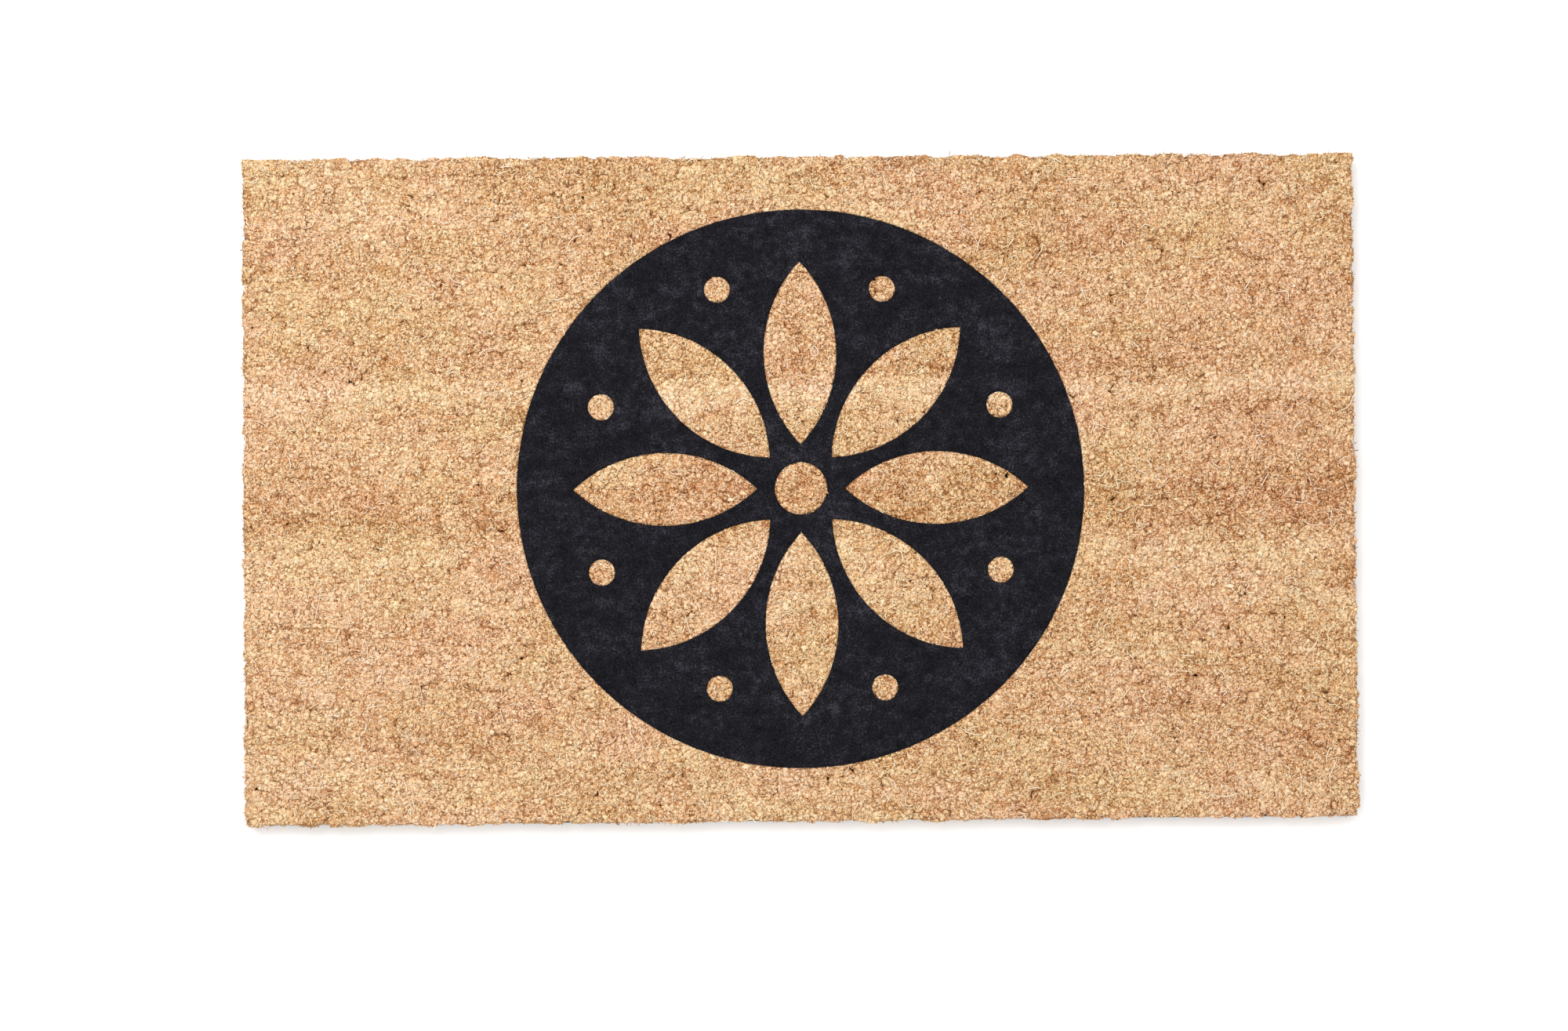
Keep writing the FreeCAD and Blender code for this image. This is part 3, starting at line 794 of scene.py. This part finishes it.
def arithmetic(nodes, links, operation, *values):
    """A Math node; each value is a socket or a number."""
    node = nodes.new("ShaderNodeMath")
    node.operation = operation
    for socket, value in zip(node.inputs, values):
        if isinstance(value, (int, float)):
            socket.default_value = value
        else:
            links.new(value, socket)
    return node.outputs["Value"]


def centred(nodes, links, value, strength):
    """A pattern's 0 to 1 spread evenly to both sides of nothing."""
    return arithmetic(nodes, links, "MULTIPLY_ADD", value, strength, -strength / 2)


def ramp(nodes, links, value, stops):
    """Colours along a value: stops are (position, linear colour)."""
    node = nodes.new("ShaderNodeValToRGB")
    elements = node.color_ramp.elements
    for position, _ in stops[2:]:
        elements.new(position)
    for element, (position, colour) in zip(elements, stops):
        element.position, element.color = position, colour
    links.new(value, node.inputs["Fac"])
    return node.outputs["Color"]


def multiplied(nodes, links, first, second):
    """Two colours multiplied with each other."""
    node = nodes.new("ShaderNodeMix")
    node.data_type, node.blend_type = "RGBA", "MULTIPLY"
    node.inputs["Factor"].default_value = 1.0
    links.new(first, node.inputs["A"])
    links.new(second, node.inputs["B"])
    return node.outputs["Result"]


# The colour of coir by tone, and tints for it in wide soft patches, from pinkish to straw yellow.
COIR_COLOURS = [
    (0.0, linear(134, 72, 36)), (0.25, linear(194, 141, 92)), (0.45, linear(225, 190, 149)),
    (0.65, linear(238, 212, 176)), (0.85, linear(242, 221, 190)), (1.0, linear(247, 231, 205)),
]
COIR_TINTS = [(0.36, linear(237, 234, 238)), (0.64, linear(235, 238, 232))]
PASTE_COLOURS = [
    (0.0, linear(9, 9, 12)), (0.20, linear(20, 19, 24)), (0.34, linear(27, 26, 31)),
    (0.46, linear(46, 45, 51)), (1.0, linear(62, 61, 66)),
]
VINYL_COLOURS = [(0.3, linear(46, 44, 43)), (0.7, linear(66, 63, 61))]
LEAST_ROUGHNESS, ROUGHNESS_RANGE = 0.5, 0.25
BUMP_STRENGTH, BUMP_HEIGHT = 0.35, 0.15 * MM


def make_coir():
    """Coconut fibre: its tone comes from the mesh, painted shade included, broken up by fine specks and soft
    stains.
    """
    material, nodes, links, shader = new_material("coir", Roughness=0.9, Specular_IOR_Level=0.03)
    tone = nodes.new("ShaderNodeAttribute")
    tone.attribute_name = "tone"
    specks = centred(nodes, links, noise(nodes, links, scale=1000, detail=3), strength=1.4)
    varied = arithmetic(nodes, links, "ADD", tone.outputs["Fac"], specks)
    colour = ramp(nodes, links, varied, COIR_COLOURS)
    stains = ramp(nodes, links, noise(nodes, links, scale=30, detail=3, stretch=(0.5, 1, 1)), COIR_TINTS)
    links.new(multiplied(nodes, links, colour, stains), shader.inputs["Base Color"])
    return material


def make_print_paste():
    """Near-black, faintly blue print paste with paler smudges where it was rubbed."""
    material, nodes, links, shader = new_material("print_paste", Roughness=0.8, Specular_IOR_Level=0.06)
    rubbed = noise(nodes, links, scale=42, detail=4, stretch=(1, 1.6, 1))
    smudges = arithmetic(nodes, links, "MULTIPLY", rubbed, noise(nodes, links, scale=150, detail=3))
    grain = centred(nodes, links, noise(nodes, links, scale=800), strength=1.0)
    varied = arithmetic(nodes, links, "ADD", smudges, grain)
    links.new(ramp(nodes, links, varied, PASTE_COLOURS), shader.inputs["Base Color"])
    return material


def make_vinyl():
    """Dark grey cast vinyl with a fine mottle and a soft orange-peel surface."""
    material, nodes, links, shader = new_material("vinyl_backing", Specular_IOR_Level=0.35)
    mottle = noise(nodes, links, scale=160, detail=4)
    links.new(ramp(nodes, links, mottle, VINYL_COLOURS), shader.inputs["Base Color"])
    gloss = noise(nodes, links, scale=400)
    rough = arithmetic(nodes, links, "MULTIPLY_ADD", gloss, ROUGHNESS_RANGE, LEAST_ROUGHNESS)
    links.new(rough, shader.inputs["Roughness"])
    bump = nodes.new("ShaderNodeBump")
    bump.inputs["Strength"].default_value = BUMP_STRENGTH
    bump.inputs["Distance"].default_value = BUMP_HEIGHT
    links.new(noise(nodes, links, scale=900), bump.inputs["Height"])
    links.new(bump.outputs["Normal"], shader.inputs["Normal"])
    return material


# ---- floor, light and camera -----------------------------------------------------------------------------

FLOOR_SIZE, FLOOR_COLOUR = 12, (0.9, 0.9, 0.9, 1)
SURROUND_COLOUR, SURROUND_STRENGTH = (1, 1, 1, 1), 1.25
LAMP_PLACE, LAMP_SIZE, LAMP_POWER = (-0.9, 1.1, 1.9), 1.4, 33
CAMERA_PLACE, CAMERA_ANGLES = (-0.0659, -0.0777, 2.5507), (1.346, -1.212, -0.453)
FOCAL_LENGTH, SENSOR_WIDTH = 85, 36          # in millimetres, as a Blender camera takes them


def make_stage():
    """A pale floor, a white surround and one large soft lamp."""
    bpy.ops.mesh.primitive_plane_add(size=FLOOR_SIZE, location=(0, 0, 0))
    floor = bpy.context.object
    floor.name = "floor"
    floor.data.materials.append(new_material("floor", Roughness=0.9, Base_Color=FLOOR_COLOUR)[0])

    world = bpy.data.worlds.new("studio")
    world.use_nodes = True
    world.node_tree.nodes["Background"].inputs["Color"].default_value = SURROUND_COLOUR
    world.node_tree.nodes["Background"].inputs["Strength"].default_value = SURROUND_STRENGTH
    bpy.context.scene.world = world

    lamp = bpy.data.lights.new("softbox", "AREA")
    lamp.shape, lamp.size, lamp.energy = "SQUARE", LAMP_SIZE, LAMP_POWER
    lamp_object = bpy.data.objects.new("softbox", lamp)
    lamp_object.location = LAMP_PLACE
    lamp_object.rotation_euler = lamp_object.location.to_track_quat("Z", "Y").to_euler()
    bpy.context.scene.collection.objects.link(lamp_object)
    bpy.context.scene.view_settings.view_transform = "Standard"


def make_camera():
    """Straight above the mat but for a degree or so, as the photograph was taken."""
    lens = bpy.data.cameras.new("camera")
    lens.lens, lens.sensor_width = FOCAL_LENGTH, SENSOR_WIDTH
    camera = bpy.data.objects.new("camera", lens)
    camera.location = CAMERA_PLACE
    camera.rotation_euler = [math.radians(angle) for angle in CAMERA_ANGLES]
    bpy.context.scene.collection.objects.link(camera)
    bpy.context.scene.camera = camera


def main():
    coir, paste, vinyl = make_coir(), make_print_paste(), make_vinyl()
    backing = make_backing(vinyl)
    for number, name in enumerate(GROUPS):
        make_rows(number, name, coir)
    for name, outward in (("front", (0, -1)), ("back", (0, 1)), ("left", (-1, 0)), ("right", (1, 0))):
        make_side_fibres(f"side_fibres_{name}", outward, coir)
    make_paste(paste)
    make_printed_ends(paste)
    make_strays(coir)
    make_pith(coir)
    make_stage()
    make_camera()


main()
